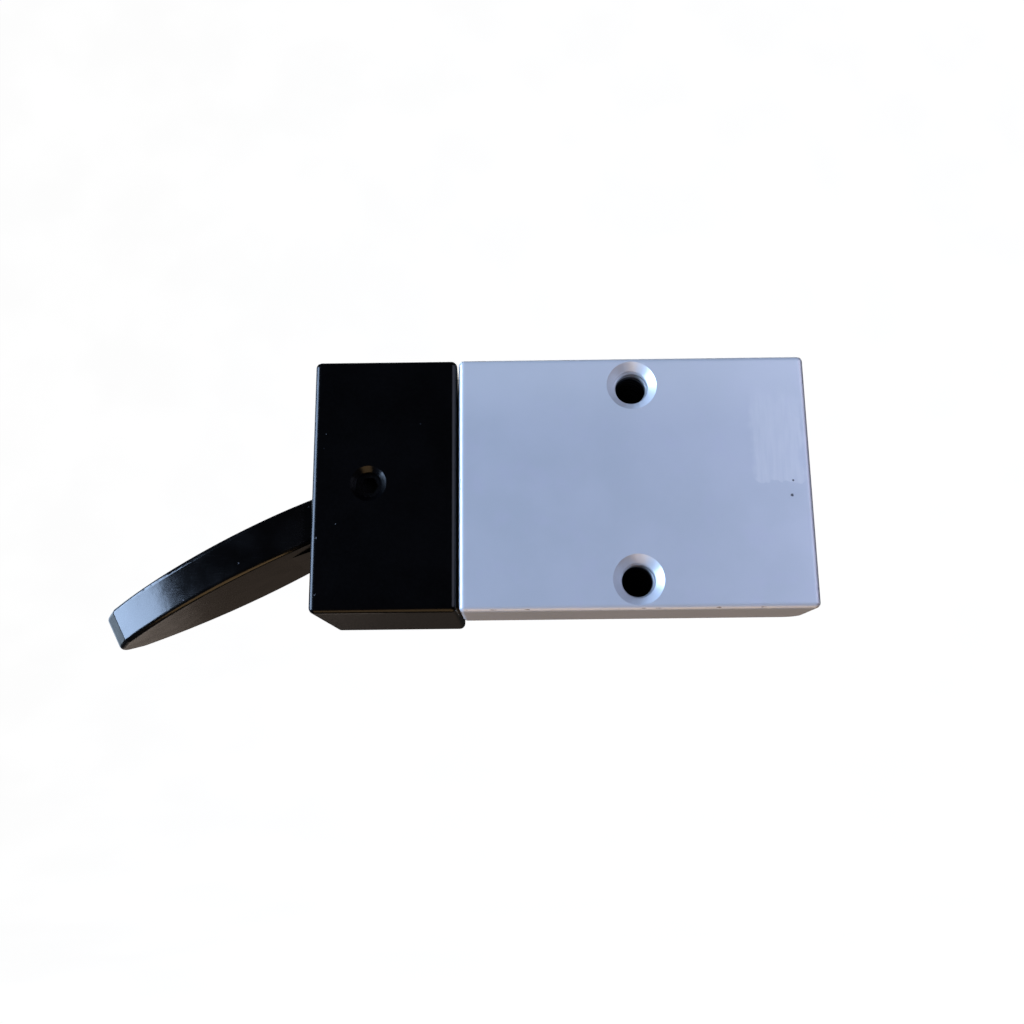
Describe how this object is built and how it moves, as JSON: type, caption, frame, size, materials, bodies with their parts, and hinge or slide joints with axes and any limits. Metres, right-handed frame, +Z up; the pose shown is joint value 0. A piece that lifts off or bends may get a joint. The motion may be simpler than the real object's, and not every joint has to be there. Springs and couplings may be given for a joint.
{
  "type": "stair gate latch",
  "caption": "Two-block gate latch: a lever on the dark latch case pulls a sprung bolt out of the pale keeper block.",
  "frame": {"origin": "on the keeper's back face, behind the middle of its two M8 holes", "axes": "+X along the latch from the lever towards the keeper, +Y from the front faces to the mounting face, +Z up"},
  "size_m": [0.1398, 0.032, 0.055],
  "materials": {
    "silver_coat": "satin silver-grey powder coat with fine orange peel",
    "black_coat": "satin black powder coat",
    "lever_gloss": "semi-gloss black enamel",
    "bare_steel": "machined steel",
    "black_oxide": "black oxide steel",
    "spring_steel": "drawn spring wire",
    "zinc_steel": "zinc-plated steel",
    "bronze": "sintered bronze",
    "black_rubber": "matt rubber",
    "nylon": "natural nylon"
  },
  "bodies": {
    "keeper": {"keeper_block": "silver_coat", "mortise_liner": "nylon"},
    "latch_case": {"case_body": "black_coat", "back_cover": "black_coat", "cover_screws": "zinc_steel", "bolt_window_liner": "nylon", "bolt_slide_strip": "nylon", "pivot_pin": "bare_steel", "pivot_grub_screw": "black_oxide", "front_thrust_washer": "bronze", "rear_thrust_washer": "bronze", "spring_guide_rod": "bare_steel", "bolt_stop_pad": "black_rubber", "bolt_spring": "spring_steel"},
    "lever": {"lever": "lever_gloss", "front_hub_bush": "bronze", "rear_hub_bush": "bronze", "drive_pin": "bare_steel"},
    "latch_bolt": {"latch_bolt": "bare_steel", "spring_cup": "nylon"}
  },
  "joints": [
    {"name": "gate_release", "type": "slide", "parent": "keeper", "child": "latch_case", "axis": [-1, 0, 0], "range_m": [0, 0.03]},
    {"name": "lever_turn", "type": "hinge", "parent": "latch_case", "child": "lever", "pos_m": [-0.0514, 0, 0], "axis": [0, 1, 0], "range_deg": [0, 36], "stiffness_Nm_per_rad": 0.25, "springref_deg": -28.65},
    {"name": "bolt_slide", "type": "slide", "parent": "latch_case", "child": "latch_bolt", "axis": [-1, 0, 0], "range_m": [0, 0.00854], "deforming": ["bolt_spring"]}
  ],
  "couplings": [
    {"joint": "bolt_slide", "follows": "lever_turn", "m_per_rad": 0.013582}
  ]
}
